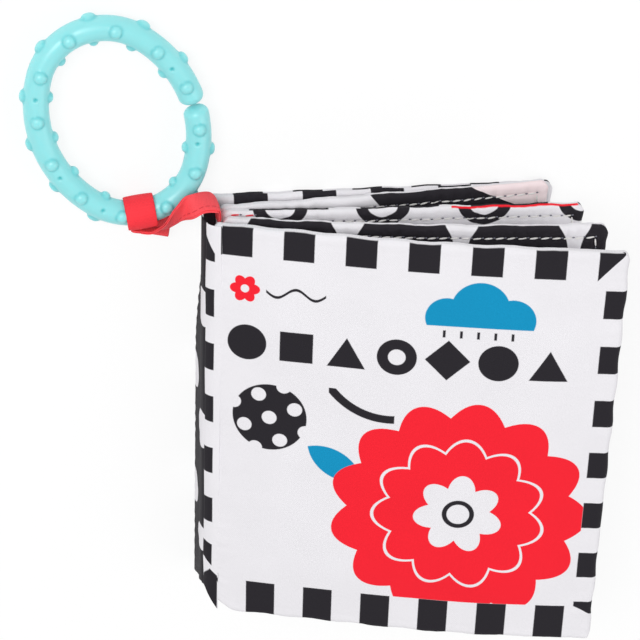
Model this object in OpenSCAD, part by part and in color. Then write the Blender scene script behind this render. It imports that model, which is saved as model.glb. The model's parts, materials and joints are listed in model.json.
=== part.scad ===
// Soft cloth activity book lying on its back cover, with a teether ring on a ribbon strap.
// +X runs from the spine to the fore edge, +Y to the top of the page, +Z out of the front cover.

/* [Covers] */
// Height of the covers along the spine
cover_h = 150; // [130:1:170]
// Width of the front cover, measured along its curve
cover_w = 132.5; // [120:0.5:160]
// Width of the back cover
back_cover_w = 117; // [105:1:160]
// Thickness of a cover at its rim
cover_rim_t = 4; // [3:0.1:4.6]
// Swell of a cover's padding beyond its rim
cover_loft = 0.8; // [0:0.1:1.2]
// Slope of the front cover at the spine
cover_lift = 20; // [18:0.5:26]
// Slope of the front cover at its fore edge
cover_tip = 10; // [2:0.5:12]

/* [Spine] */
// Height of the front cover's hinge line above the table
hinge_z = 22.5; // [21:0.5:28]
// Gap between a cover and the spine in the fold
fold_gap = 0.3; // [0.2:0.05:0.6]
// Angle that the front cover opens through
front_swing = 160; // [120:1:165]
// Angle that the back cover opens through
back_swing = 165; // [120:1:170]

/* [Leaves] */
// Height of the leaves along the spine
leaf_h = 148; // [128:1:150]
// Width of the first leaf, measured along its curve
leaf_a_w = 125; // [105:1:130]
// Width of the second leaf
leaf_b_w = 121; // [105:1:130]
// Width of the third leaf
leaf_c_w = 111; // [100:1:130]
// Thickness of a leaf at its rim
leaf_rim_t = 3.8; // [3:0.1:4]
// Swell of a leaf's padding beyond its rim
leaf_loft = 0.5; // [0:0.1:0.8]
// Height of the first leaf's middle at the gutter
leaf_a_z = 16.5; // [16:0.1:17.5]
// Height of the second leaf's middle at the gutter
leaf_b_z = 11.6; // [11:0.1:12]
// Height of the third leaf's middle at the gutter
leaf_c_z = 8; // [7.4:0.1:8.4]
// Thickness of the sewn gutter that joins the leaves
gutter_t = 4.2; // [3:0.1:6]
// Height of the sewn gutter along the spine
gutter_h = 140; // [120:1:141]

/* [Stitching] */
// Distance of the topstitching from a panel's edge
stitch_inset = 4.2; // [3.5:0.1:6]
// Depth that the topstitching draws the cloth in
stitch_depth = 0.7; // [0.2:0.1:1]
// Radius of a panel's corners in plan
corner_r = 4.6; // [3:0.1:5]
// Largest distance between the lines of a panel's net
net_step = 17; // [12:1:30]

/* [Ring] */
// Length of the ring's oval, along the middle of its tube
ring_l = 64.6; // [56:0.2:72]
// Width of the ring's oval, along the middle of its tube
ring_w = 49.2; // [44:0.2:54]
// Radius of the oval's two rounder ends
ring_end_r = 21; // [18:0.1:21.5]
// Diameter of the tube
tube_d = 8.2; // [7:0.1:8.4]
// Height of the bumps on the tube
bump_h = 1.3; // [0.6:0.1:1.4]
// Radius of a bump's dome
bump_r = 1.9; // [1.5:0.1:2.4]
// Number of places round the ring that carry a pair of bumps
bump_places = 24; // [16:2:28]
// Opening between the ring's two rounded tips
tip_gap = 0.8; // [0.4:0.1:2]
// Turn of the ring on the table, seen from above
ring_turn = 22; // [18:1:26]

/* [Strap] */
// Width of the ribbon
ribbon_w = 10.5; // [8:0.5:11]
// Thickness of the doubled ribbon
ribbon_t = 1.2; // [1:0.1:1.5]
// Thickness of the ribbon where it loops round the ring
loop_t = 0.9; // [0.6:0.1:1.2]
// Free space between the ring's bumps and the loop
loop_gap = 0.9; // [0.8:0.1:1.2]
// Free space between the ring's bumps and the ribbon that crosses over them
ring_slack = 0.6; // [0.5:0.1:0.9]

/* [Hidden] */
$fn = 48;

cover_r = cover_rim_t / 2;
leaf_r = leaf_rim_t / 2;

// The edges of cover and spine are round. A hinge line lies where both are as far apart at rest
// as at the end of the swing, so the fold keeps its gap.
edge_pitch = 2 * cover_r + fold_gap;
front_apart = 180 - front_swing / 2;
front_reach = edge_pitch / 2 / sin(front_apart / 2);
front_spine_turn = cover_lift + front_swing / 2 + 180;
front_hinge = [-front_reach * cos(front_spine_turn), hinge_z];
spine_top_z = hinge_z + front_reach * sin(front_spine_turn);
back_apart = 180 - back_swing / 2;
back_reach = edge_pitch / 2 / sin(back_apart / 2);
back_hinge = [-back_reach * cos(back_apart), cover_r];
spine_foot_z = back_hinge[1] + back_reach * sin(back_apart);

// The origin is under the middle of the back cover, and X is counted from the spine until then.
back_start = back_hinge + [back_reach - cover_r, 0];
foot_x = back_start[0] + back_cover_w / 2;

gutter_x = cover_r + fold_gap;
leaf_back = 1.9;
leaf_x = gutter_x + leaf_back;
fan_slopes = [[16, 5], [5, 1], [1, -2]];
fan_widths = [leaf_a_w, leaf_b_w, leaf_c_w];
fan_heights = [leaf_a_z, leaf_b_z, leaf_c_z];

// A panel's net has close lines at its round rim and its topstitching, and open ones between.
net_close = 1.3;
loft_run = 14;
rim_marks = function (r) [0, 0.3 * r, r, stitch_inset - net_close, stitch_inset, stitch_inset + net_close];
function marks(length, r) =
    let (near = rim_marks(r), last = near[len(near) - 1], span = length - 2 * last,
         count = max(1, ceil(span / net_step)))
    concat(near,
           [for (k = [1:1:count - 1]) last + span * k / count],
           [for (k = [len(near) - 1:-1:0]) length - near[k]]);

// Half of a panel's thickness at a distance from its edge.
function rim_half(d, r) = d < r ? sqrt(max(0, r * r - (r - d) * (r - d))) : r;
function swell(d, loft) = loft * min(1, max(0, (d - stitch_inset) / loft_run));
function half_t(d, r, loft) =
    rim_half(d, r) + swell(d, loft) - (abs(d - stitch_inset) < 0.01 ? stitch_depth / 2 : 0);

// Moves a net point near a corner on to arcs about the corner's centre.
function round_corner(a, b) =
    a >= corner_r || b >= corner_r ? [a, b] :
    let (d = min(a, b), far = max(a, b), turn = 45 * (corner_r - far) / (corner_r - d),
         across = (corner_r - d) * cos(turn), along = (corner_r - d) * sin(turn))
    a < b ? [corner_r - across, corner_r - along] : [corner_r - along, corner_r - across];

// A point and slope on an arc that leaves a start point at one slope and ends at another.
function arc_slope(slopes, length, s) = slopes[0] + (slopes[1] - slopes[0]) * s / length;
function arc_point(start, slopes, length, s) =
    let (k = (slopes[1] - slopes[0]) / length * PI / 180, a = arc_slope(slopes, length, s))
    abs(k) < 1e-6 ? start + s * [cos(slopes[0]), sin(slopes[0])] :
    start + [sin(a) - sin(slopes[0]), cos(slopes[0]) - cos(a)] / k;

function panel_point(start, slopes, w, h, r, lofts, side, u, v) =
    let (du = min(u, w - u), dv = min(v, h - v), d = min(du, dv), c = round_corner(du, dv),
         s = u < w / 2 ? c[0] : w - c[0], y = (v < h / 2 ? c[1] : h - c[1]) - h / 2,
         p = arc_point(start, slopes, w, s), a = arc_slope(slopes, w, s),
         t = half_t(d, r, lofts[side]) * (side == 0 ? 1 : -1))
    [p[0] - t * sin(a), y, p[1] + t * cos(a)];

// A padded cloth panel: round rims, drawn in along the stitching, swelling between.
// start is the X and Z of its spine edge; lofts are the swell of its upper and lower face.
module padded_panel(start, slopes, w, h, r, lofts) {
    us = marks(w, r);
    vs = marks(h, r);
    n = len(us);
    m = len(vs);
    upper = [for (u = us) for (v = vs) panel_point(start, slopes, w, h, r, lofts, 0, u, v)];
    lower = [for (i = [1:n - 2]) for (j = [1:m - 2])
             panel_point(start, slopes, w, h, r, lofts, 1, us[i], vs[j])];
    at = function (side, i, j)
        side == 0 || i == 0 || j == 0 || i == n - 1 || j == m - 1 ? i * m + j :
        n * m + (i - 1) * (m - 2) + j - 1;
    faces = [for (side = [0, 1]) for (i = [0:n - 2]) for (j = [0:m - 2])
             let (a = at(side, i, j), b = at(side, i + 1, j),
                  c = at(side, i + 1, j + 1), d = at(side, i, j + 1),
                  rising = (i < (n - 1) / 2) == (j < (m - 1) / 2))
             for (t = rising ? [[a, b, c], [a, c, d]] : [[a, b, d], [b, c, d]])
             side == 0 ? [t[0], t[2], t[1]] : t];
    polyhedron(concat(upper, lower), faces);
}

module from_spine() {
    translate([-foot_x, 0, 0])
        children();
}

// The front cover starts at its hinge line and bends down towards the fore edge.
module front_cover() {
    start = front_hinge + (front_reach - cover_r) * [cos(cover_lift), sin(cover_lift)];
    color("#eceaee")
        from_spine()
            padded_panel(start, [cover_lift, cover_tip], cover_w, cover_h, cover_r,
                         [cover_loft, cover_loft]);
}

// The back cover lies flat on the table.
module back_cover() {
    color("#e2e0e4")
        from_spine()
            padded_panel(back_start, [0, 0], back_cover_w, cover_h, cover_r, [cover_loft / 2, 0]);
}

module spine() {
    color("#343236")
        from_spine()
            padded_panel([0, spine_foot_z - cover_r], [90, 90],
                         spine_top_z - spine_foot_z + 2 * cover_r, cover_h, cover_r, [0, 0]);
}

// Three leaves fan out of one sewn gutter.
module pages() {
    color("#f4f2f4")
        from_spine() {
            for (k = [0:2])
                padded_panel([leaf_x, fan_heights[k]], fan_slopes[k], fan_widths[k], leaf_h, leaf_r,
                             [leaf_loft, k == 2 ? 0 : leaf_loft]);
            translate([gutter_x, -gutter_h / 2, leaf_c_z - leaf_r])
                cube([gutter_t, gutter_h, leaf_a_z - leaf_c_z + 2 * leaf_r]);
        }
}

// The ring is an oval of four arcs, laid on the table with its near end raised by the strap.
tube_r = tube_d / 2;
bump_reach = tube_r + bump_h;
end_off = ring_l / 2 - ring_end_r;
side_r = (end_off * end_off + ring_w * ring_w / 4 - ring_end_r * ring_end_r)
         / (ring_w - 2 * ring_end_r);
side_off = side_r - ring_w / 2;
side_turn = atan2(end_off, side_off);
side_len = side_r * 2 * side_turn * PI / 180;
end_len = ring_end_r * (180 - 2 * side_turn) * PI / 180;
ring_len = 2 * (side_len + end_len);
ring_arcs = [[[-side_off, 0], side_r, -side_turn, side_len],
             [[0, end_off], ring_end_r, side_turn, end_len],
             [[side_off, 0], side_r, 180 - side_turn, side_len],
             [[0, -end_off], ring_end_r, 180 + side_turn, end_len]];
tip_turn = -6;

// A place on the middle of the tube: its X, Y and outward direction at a length along the oval.
function ring_at(s, k = 0) =
    s < ring_arcs[k][3] || k == 3 ?
        let (a = ring_arcs[k][2] + s / ring_arcs[k][1] * 180 / PI)
        concat(ring_arcs[k][0] + ring_arcs[k][1] * [cos(a), sin(a)], [a]) :
        ring_at(s - ring_arcs[k][3], k + 1);

// The tube runs once round the oval, from one rounded tip to the other. The opening takes one of
// the bump places, and the others have bumps in front and behind, or inside and outside, by turns.
tip_s = side_r * (side_turn + tip_turn) * PI / 180;
tube_run = ring_len - tip_gap;
bump_pitch = ring_len / bump_places;
tip_marks = [0.15, 0.8, 2, tube_r];
tube_marks = concat(
    tip_marks,
    [for (place = [1:bump_places - 1]) for (part = [-1, -0.5, 0, 0.5, 1])
     place * bump_pitch - tip_gap / 2 + part * bump_r],
    [for (k = [len(tip_marks) - 1:-1:0]) tube_run - tip_marks[k]]);
bump_spread = bump_r / tube_r * 180 / PI;
tube_turns = [for (quarter = [0:3]) for (part = [-1, -0.5, 0, 0.5, 1])
              90 * quarter + part * bump_spread];

// Height of the dome at a length along the tube and a turn round it.
function dome(t, turn) =
    let (place = round((t + tip_gap / 2) / bump_pitch),
         along = t + tip_gap / 2 - place * bump_pitch,
         quarter = place % 2 == 1 ? 90 : 0,
         off = (turn - quarter + 450) % 180 - 90,
         round_it = off * PI / 180 * tube_r,
         share = (along * along + round_it * round_it) / (bump_r * bump_r))
    place < 1 || place > bump_places - 1 || share >= 1 ? 0 : bump_h * pow(1 - share, 0.6);

function tube_ring(t) =
    let (p = ring_at((tip_s + tip_gap / 2 + t) % ring_len),
         d = min(t, tube_run - t, tube_r), r = sqrt(tube_r * tube_r - pow(tube_r - d, 2)))
    [for (turn = tube_turns)
     let (reach = r + dome(t, turn), out = reach * cos(turn))
     [p[0] + out * cos(p[2]), p[1] + out * sin(p[2]), reach * sin(turn)]];

module open_ring() {
    n = len(tube_marks);
    m = len(tube_turns);
    points = [for (t = tube_marks) each tube_ring(t)];
    walls = [for (k = [0:n - 2]) for (e = [0:m - 1])
             let (a = k * m + e, b = k * m + (e + 1) % m)
             each [[a, b, b + m], [a, b + m, a + m]]];
    near_tip = [for (e = [m - 1:-1:0]) e];
    far_tip = [for (e = [0:m - 1]) (n - 1) * m + e];
    polyhedron(points, concat(walls, [near_tip, far_tip]));
}

// The strap's loop stands on the table, and the ring's tube runs through its middle.
loop_in_r = bump_reach + loop_gap;
loop_out_r = loop_in_r + loop_t;
loop_rise = 0.7;
top_y = cover_h / 2;
loop_at = [-21.3, top_y - 2.3, loop_out_r + loop_rise];
loop_lean = 6.85;

// The tube bends inside the loop, so the loop sits a little inside the arc of the ring's near end.
loop_seat = 0.33;
ring_near = [loop_at[0], loop_at[1]] + (ring_end_r - loop_seat) * [-sin(loop_lean), cos(loop_lean)];
ring_centre = ring_near - end_off * [sin(ring_turn), -cos(ring_turn)];
ring_far_z = bump_reach;
ring_far_y = ring_centre[1] + ring_l / 2;
ring_tilt = atan2(loop_at[2] - ring_far_z, ring_far_y - loop_at[1]);

module link_ring() {
    color("#97e3e6")
        from_spine()
            translate([ring_centre[0], ring_centre[1],
                       loop_at[2] - (ring_centre[1] - loop_at[1]) * tan(ring_tilt)])
                rotate([-ring_tilt, 0, 0])
                    rotate([0, 0, ring_turn])
                        open_ring();
}

// Where the ribbon crosses the tube, its two edges lie at a lean and a distance from the tube's
// middle, so it clears the bumps while the ring slides through the loop.
over_r = bump_reach + ring_slack + ribbon_t / 2;
wrap_r = loop_out_r + ribbon_t / 2;
function over_tube(xs, lean, reach, edges) =
    let (x = (xs[0] + xs[1]) / 2,
         y = ring_near[1] - sqrt(ring_end_r * ring_end_r - pow(x - ring_near[0], 2)),
         z = loop_at[2] - (y - loop_at[1]) * tan(ring_tilt))
    [for (k = [0, 1]) [xs[k], y - reach * cos(lean) - edges[k] * sin(lean),
                       z + reach * sin(lean) - edges[k] * cos(lean)]];

// The ribbon's two edges, from the seam at the spine, over the tube and round to the loop.
strap_x = gutter_x + 0.8;
strap_root_y = gutter_h / 2 + 0.4;
loop_foot_y = loop_at[1] - loop_out_r;
ribbon_route = [
    [[strap_x, strap_root_y, 9], [strap_x, strap_root_y, 19]],
    [[strap_x, top_y + 1, 9.2], [strap_x, top_y + 1, 19]],
    [[1.4, top_y + 3.6, 9.8], [1.6, top_y + 2.4, 19.2]],
    [[-1.5, top_y + 5, 11.5], [-1.5, top_y + 2.6, 19]],
    [[-4.5, top_y + 5.8, 14.2], [-5, top_y, 18]],
    [[-7.5, top_y + 5.5, 15.2], [-8, top_y - 4, 12]],
    over_tube([-10.5, -11], 57, over_r, [-4.7, 6.4]),
    over_tube([-12.5, -12.9], 44, over_r, [-3.8, 6.5]),
    over_tube([-14.5, -14.7], 31, over_r + 0.4 * (wrap_r - over_r), [-2.7, 7.1]),
    [[-17.5, loop_foot_y, loop_at[2] + 2.6], [-17.5, loop_foot_y - 0.3, loop_at[2] - 3.4]],
    [[-22, loop_foot_y + 0.3, loop_at[2] + 2.1], [-22, loop_foot_y + 0.1, loop_at[2] - 3.1]]];

function unit(v) = v / norm(v);
function ribbon_ring(k) =
    let (n = len(ribbon_route), a = ribbon_route[k][0], b = ribbon_route[k][1],
         before = ribbon_route[max(k - 1, 0)], after = ribbon_route[min(k + 1, n - 1)],
         ahead = after[0] + after[1] - before[0] - before[1],
         out = unit(cross(ahead, b - a)) * ribbon_t / 2)
    [a - out, b - out, b + out, a + out];

module ribbon() {
    n = len(ribbon_route);
    points = [for (k = [0:n - 1]) each ribbon_ring(k)];
    sides = [for (k = [0:n - 2]) for (e = [0:3])
             let (a = 4 * k + e, b = 4 * k + (e + 1) % 4)
             each [[a, b + 4, b], [a, a + 4, b + 4]]];
    last = 4 * (n - 1);
    ends = [[0, 1, 2], [0, 2, 3], [last, last + 2, last + 1], [last, last + 3, last + 2]];
    polyhedron(points, concat(sides, ends));
}

module ring_strap() {
    color("#f8323e")
        from_spine() {
            ribbon();
            translate(loop_at)
                rotate([0, 0, loop_lean])
                    rotate([0, 90, 0])
                        difference() {
                            cylinder(h = ribbon_w, r = loop_out_r, center = true);
                            cylinder(h = ribbon_w + 1, r = loop_in_r, center = true);
                        }
        }
}

front_cover();
back_cover();
spine();
pages();
ring_strap();
link_ring();
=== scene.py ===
import json
import math

import bmesh
import bpy
import numpy as np
from mathutils import Matrix, Vector


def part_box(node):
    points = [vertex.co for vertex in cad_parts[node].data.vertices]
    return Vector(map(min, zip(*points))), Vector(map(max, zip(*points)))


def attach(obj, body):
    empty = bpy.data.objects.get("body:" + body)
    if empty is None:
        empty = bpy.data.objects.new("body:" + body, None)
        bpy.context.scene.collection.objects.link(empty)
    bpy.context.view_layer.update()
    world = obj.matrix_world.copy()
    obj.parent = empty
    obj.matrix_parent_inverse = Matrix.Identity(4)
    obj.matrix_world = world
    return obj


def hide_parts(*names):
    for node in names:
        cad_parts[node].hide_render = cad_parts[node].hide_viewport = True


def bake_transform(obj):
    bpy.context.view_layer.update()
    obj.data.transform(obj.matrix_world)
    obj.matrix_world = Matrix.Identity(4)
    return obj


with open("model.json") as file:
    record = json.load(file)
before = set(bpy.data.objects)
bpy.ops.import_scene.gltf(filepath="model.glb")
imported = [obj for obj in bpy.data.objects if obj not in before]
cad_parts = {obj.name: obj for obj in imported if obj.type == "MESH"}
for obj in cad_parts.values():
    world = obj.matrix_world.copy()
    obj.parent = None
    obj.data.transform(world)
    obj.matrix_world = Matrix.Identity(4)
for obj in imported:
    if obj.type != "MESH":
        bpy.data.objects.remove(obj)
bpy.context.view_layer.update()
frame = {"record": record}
scene = bpy.context.scene
scene.view_settings.view_transform = "Standard"
mm = 0.001  # a millimetre in scene units
joints = {j["name"]: Vector(j["pos_m"]) for j in frame["record"]["behaviour"]["joints"]}
spineLow, spineHigh = [Vector(corner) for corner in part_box("spine")]
spineX = (spineLow.x + spineHigh.x) / 2  # the middle of the spine's board
fromSpine = Vector((spineX, 0, 0))
print("frame loaded")


# Camera at the photograph's angle: from beyond the top of the page, looking down on the cover.
camera = {
    "place": (-80.2, 381.3, 652.3),  # mm, X from the spine, Z from the table
    "right": (0.9857, 0.0317, 0.1654),
    "down": (-0.0508, -0.8803, 0.4717),
    "focal": 2200.0,  # pixels, in a frame 640 pixels wide
    "frameWidth": 640,
    "sensor": 36,
    "clip": (0.01, 20),
}


def addCamera(spec):
    lens = bpy.data.cameras.new("camera")
    lens.sensor_width = spec["sensor"]
    lens.lens = spec["focal"] / spec["frameWidth"] * spec["sensor"]
    lens.clip_start, lens.clip_end = spec["clip"]
    right = Vector(spec["right"]).normalized()
    up = -Vector(spec["down"])
    up = (up - right * up.dot(right)).normalized()
    turn = Matrix((right, up, right.cross(up))).transposed().to_4x4()
    eye = bpy.data.objects.new("camera", lens)
    scene.collection.objects.link(eye)
    eye.matrix_world = Matrix.Translation(Vector(spec["place"]) * mm + fromSpine) @ turn
    scene.camera = eye


addCamera(camera)
print("camera placed")


# Helpers for shader nodes
def rgb(red, green, blue):
    parts = [c / 255 for c in (red, green, blue)]
    return tuple(c / 12.92 if c <= 0.04045 else ((c + 0.055) / 1.055) ** 2.4 for c in parts) + (1,)


def darker(colour, share):
    return tuple(c * share for c in colour[:3]) + (1,)


def plug(tree, socket, value):
    if isinstance(value, bpy.types.NodeSocket):
        tree.links.new(value, socket)
    else:
        socket.default_value = value


def calc(tree, operation, *values, clamp=False):
    node = tree.nodes.new("ShaderNodeMath")
    node.operation = operation
    node.use_clamp = clamp
    for socket, value in zip(node.inputs, values):
        plug(tree, socket, value)
    return node.outputs[0]


def plus(tree, a, b):
    return calc(tree, "ADD", a, b)


def minus(tree, a, b):
    return calc(tree, "SUBTRACT", a, b)


def times(tree, a, b):
    return calc(tree, "MULTIPLY", a, b)


def mixColour(tree, mask, under, over):
    node = tree.nodes.new("ShaderNodeMix")
    node.data_type = "RGBA"
    plug(tree, node.inputs[0], mask)
    plug(tree, node.inputs[6], under)
    plug(tree, node.inputs[7], over)
    return node.outputs[2]


# Printed shapes: each gives the distance to its outline in mm, negative inside.
def disc(tree, x, y, centre, radius):
    across, up = minus(tree, x, centre[0]), minus(tree, y, centre[1])
    square = plus(tree, times(tree, across, across), times(tree, up, up))
    return minus(tree, calc(tree, "SQRT", square), radius)


def ring(tree, shape, halfWidth):
    # a band on both sides of the shape's outline
    return minus(tree, calc(tree, "ABSOLUTE", shape), halfWidth)


def slab(tree, x, low, high):
    return ring(tree, minus(tree, x, (low + high) / 2), (high - low) / 2)


def joined(tree, operation, shapes):
    out = shapes[0]
    for shape in shapes[1:]:
        out = calc(tree, operation, out, shape)
    return out


def both(tree, *shapes):
    return joined(tree, "MAXIMUM", shapes)


def either(tree, *shapes):
    return joined(tree, "MINIMUM", shapes)


def outside(tree, shape):
    return times(tree, shape, -1.0)


def wrap(tree, x, pitch):
    # the place in one repeat, counted from its middle
    return calc(tree, "WRAP", x, pitch / 2, -pitch / 2)


def checks(tree, x, first, pitch, width):
    # bars from first to first + width, and again every pitch
    return ring(tree, wrap(tree, minus(tree, x, first + width / 2), pitch), width / 2)


def dotField(tree, x, y, first, pitch, radius):
    # discs in rows and columns, one of them at first
    a, b = [wrap(tree, minus(tree, place, start), pitch) for place, start in zip((x, y), first)]
    return disc(tree, a, b, (0, 0), radius)


def endBars(tree, x, y, first, pitch, width, inner):
    # bars at the page's upper and lower ends, further than inner from its middle
    return both(tree, checks(tree, x, first, pitch, width), outside(tree, slab(tree, y, -inner, inner)))


def turned(tree, x, y, centre, degrees):
    cosine, sine = math.cos(math.radians(degrees)), math.sin(math.radians(degrees))
    across, up = minus(tree, x, centre[0]), minus(tree, y, centre[1])
    return (plus(tree, times(tree, across, cosine), times(tree, up, sine)),
            minus(tree, times(tree, up, cosine), times(tree, across, sine)))


def petals(tree, x, y, centre, radius, depth, count, shift=0.0):
    angle = calc(tree, "ARCTAN2", minus(tree, y, centre[1]), minus(tree, x, centre[0]))
    wave = calc(tree, "COSINE", times(tree, plus(tree, angle, shift), count / 2))
    scallop = times(tree, calc(tree, "ABSOLUTE", wave), depth)
    return minus(tree, disc(tree, x, y, centre, radius), scallop)


def leafShape(tree, x, y, centre, degrees, length, width):
    # two round sides that meet in points
    radius = (length * length + width * width) / (4 * width)
    a, b = turned(tree, x, y, centre, degrees)
    return both(tree, disc(tree, a, b, (0, radius - width / 2), radius),
                disc(tree, a, b, (0, width / 2 - radius), radius))


def polygon(tree, x, y, centre, degrees, sides, radius):
    turns = [degrees + 360 / sides * side for side in range(sides)]
    return both(tree, *[minus(tree, turned(tree, x, y, centre, turn)[0], radius) for turn in turns])


def ink(tree, shape, soft=0.13):
    # 1 inside the shape and 0 outside, soft mm each way at the outline
    return calc(tree, "ADD", times(tree, shape, -0.5 / soft), 0.5, clamp=True)


def paint(tree, under, shape, colour):
    return mixColour(tree, ink(tree, shape), under, cloth[colour])


mapUnit = 100.0  # mm of cloth to one unit of the map called cut
cloth = {
    "white": rgb(232, 230, 234), "blush": rgb(243, 226, 228), "black": rgb(34, 31, 37),
    "red": rgb(243, 28, 46), "blue": rgb(0, 143, 190),
    "weave": 0.42,  # mm between threads
    "bump": (0.35, 0.1),  # strength, and depth in mm
    "surface": {"Roughness": 0.85, "Sheen Weight": 0.03, "Sheen Roughness": 0.5,
                "Specular IOR Level": 0.25},
}
weaveSpec = {
    "fuzz": (1.7, 3), "cloud": (0.05, 2),  # noise: scale to a mm, and detail
    "ridge": 0.5,  # height of the threads beside the fuzz
    # threadShade is painted shade: raised threads lighter, sunk ones darker; fuzz is a random fibre tone,
    # also painted lighter where it stands higher; cloud is a random tone
    "grain": 0.1, "drift": 0.08, "threadShade": 0.025,  # how far fuzz, cloud and threads change the shade
}


def addNoise(tree, place, scale, detail=2):
    node = tree.nodes.new("ShaderNodeTexNoise")
    node.inputs["Scale"].default_value = scale
    node.inputs["Detail"].default_value = detail
    tree.links.new(place, node.inputs["Vector"])
    return node.outputs["Fac"]


def weaveGroup(spec):
    group = bpy.data.node_groups.new("clothWeave", "ShaderNodeTree")
    for kind, names in (("INPUT", ("Across", "Up", "Pitch")), ("OUTPUT", ("Height", "Shade"))):
        for name in names:
            group.interface.new_socket(name, in_out=kind, socket_type="NodeSocketFloat")
    enter = group.nodes.new("NodeGroupInput")
    leave = group.nodes.new("NodeGroupOutput")
    step = calc(group, "DIVIDE", math.pi, enter.outputs["Pitch"])
    warp, weft = [calc(group, "SINE", times(group, enter.outputs[name], step)) for name in ("Across", "Up")]
    over = times(group, warp, weft)
    place = group.nodes.new("ShaderNodeCombineXYZ")
    plug(group, place.inputs[0], enter.outputs["Across"])
    plug(group, place.inputs[1], enter.outputs["Up"])
    fuzz, cloud = [addNoise(group, place.outputs[0], *spec[name]) for name in ("fuzz", "cloud")]
    plug(group, leave.inputs["Height"], plus(group, times(group, over, spec["ridge"]), fuzz))
    # the Shade output is partly painted shade, lighter where threads and fuzz stand higher, and partly random
    # tone
    grain = times(group, minus(group, fuzz, 0.5), spec["grain"])
    drift = times(group, minus(group, cloud, 0.5), spec["drift"])
    shade = plus(group, plus(group, grain, drift), times(group, over, spec["threadShade"]))
    plug(group, leave.inputs["Shade"], shade)
    return group


weave = weaveGroup(weaveSpec)


def newMaterial(name, surface):
    material = bpy.data.materials.new(name)
    material.use_nodes = True
    shader = material.node_tree.nodes["Principled BSDF"]
    for socket, value in surface.items():
        shader.inputs[socket].default_value = value
    return material, material.node_tree, shader


def addBump(tree, shader, height, strength, depth):
    bump = tree.nodes.new("ShaderNodeBump")
    bump.inputs["Strength"].default_value = strength
    bump.inputs["Distance"].default_value = depth * mm
    tree.links.new(height, bump.inputs["Height"])
    tree.links.new(bump.outputs[0], shader.inputs["Normal"])


def clothMaterial(name, drawPrint, spec=cloth, addRelief=None):
    # drawPrint gives the colour and addRelief the height, both from a place on the cut cloth in mm
    material, tree, shader = newMaterial(name, spec["surface"])
    uv = tree.nodes.new("ShaderNodeUVMap")
    uv.uv_map = "cut"
    split = tree.nodes.new("ShaderNodeSeparateXYZ")
    tree.links.new(uv.outputs[0], split.inputs[0])
    x, y = [times(tree, split.outputs[axis], mapUnit) for axis in (0, 1)]
    threads = tree.nodes.new("ShaderNodeGroup")
    threads.node_tree = weave
    for socket, value in (("Across", x), ("Up", y), ("Pitch", spec["weave"])):
        plug(tree, threads.inputs[socket], value)
    # the weave's Shade, partly painted shade, scales the print's brightness
    shaded = tree.nodes.new("ShaderNodeHueSaturation")
    plug(tree, shaded.inputs["Color"], drawPrint(tree, x, y))
    plug(tree, shaded.inputs["Value"], plus(tree, threads.outputs["Shade"], 1.0))
    tree.links.new(shaded.outputs[0], shader.inputs["Base Color"])
    height = threads.outputs["Height"]
    addBump(tree, shader, addRelief(tree, x, y, height) if addRelief else height, *spec["bump"])
    return material


# The front cover's print, in mm: x along the cloth from the fold, y up the page
coverPrint = {
    "left": 1.8, "right": 126.7, "bottom": -60.5, "top": 64.8,  # the white panel inside the checks
    "pitch": 20.0, "check": 10.0, "seam": 74.75,
    "topFirst": 3.7, "bottomFirst": 13.7, "rightFirst": 51.4, "leftFirst": 41.9,
    "topCorner": 123.7, "foldCorner": 1.2,
    "topMitre": 1.16, "foldMitre": 0.35, "rightMitre": 0.52, "leftMitre": 1.65,
    # petals are radius, depth, count and turn
    "flower": (85, -25), "flowerPetals": (37.5, 6.0, 13), "creases": (24, 5, 11, 0.2), "creaseHalf": 0.55,
    "hub": (10.5, 4.6, 7, 0.3), "hubRing": 4.6, "hubRingHalf": 0.8,
    "badge": (11.5, 53.5), "badgePetals": (3.6, 1.4, 6), "badgeHub": 1.4,
    "ball": (20.5, 6.5), "ballRadius": 12.5, "ballTurn": 24, "spotPitch": 9.2, "spotRadius": 2.5,
    "cloud": [(77, 49.5, 7), (87.5, 53, 9.5), (98, 49.5, 7.5)], "cloudFoot": 46.5,
    "rain": (76.0, 5.5, 0.9), "rainAcross": (75, 99), "rainUp": (42.4, 45),
    "wave": (52.6, 53.6), "waveAcross": (18.5, 38), "waveTurn": 0.5, "waveHeight": 1.6,
    "stalk": (60, 34), "stalkRadius": 24, "stalkHalf": 1.5, "stalkAcross": (40, 62), "stalkTop": 20.0,
    "leaf": ((43, -9), -32, 22, 10),
    "row": ["disc", "square", "triangle", "ring", "diamond", "disc", "triangle"],
    "rowY": 34.0, "rowStep": 16.4, "rowStart": 12.5, "shapeSize": 6.5,
    # shares of the size: a ring's radius and half width, then by degrees and sides a radius and drop
    "ringShares": (0.72, 0.28),
    "cornered": {"triangle": (-90, 3, 0.56, 0.3), "square": (0, 4, 0.84, 0), "diamond": (45, 4, 0.8, 0)},
}


def drawBorder(tree, x, y):
    # squares along the four sides, with mitred corners
    p = coverPrint
    top, bottom = minus(tree, p["top"], y), minus(tree, y, p["bottom"])
    left, right = minus(tree, x, p["left"]), minus(tree, p["right"], x)
    topMitre = plus(tree, top, times(tree, minus(tree, x, p["topCorner"]), p["topMitre"]))
    foldMitre = minus(tree, times(tree, bottom, p["foldMitre"]), minus(tree, x, p["foldCorner"]))
    rightMitre = minus(tree, times(tree, right, p["rightMitre"]), bottom)
    leftMitre = minus(tree, left, calc(tree, "DIVIDE", top, p["leftMitre"]))
    sides = [(p["topFirst"], x, top, topMitre, minus(tree, y, p["seam"])),
             (p["bottomFirst"], x, bottom, foldMitre, minus(tree, x, p["right"])),
             (p["rightFirst"], y, right, rightMitre, minus(tree, y, p["top"])),
             (p["leftFirst"], y, left, leftMitre, outside(tree, bottom))]
    return either(tree, *[both(tree, *cuts, checks(tree, along, first, p["pitch"], p["check"]))
                          for first, along, *cuts in sides])


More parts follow.
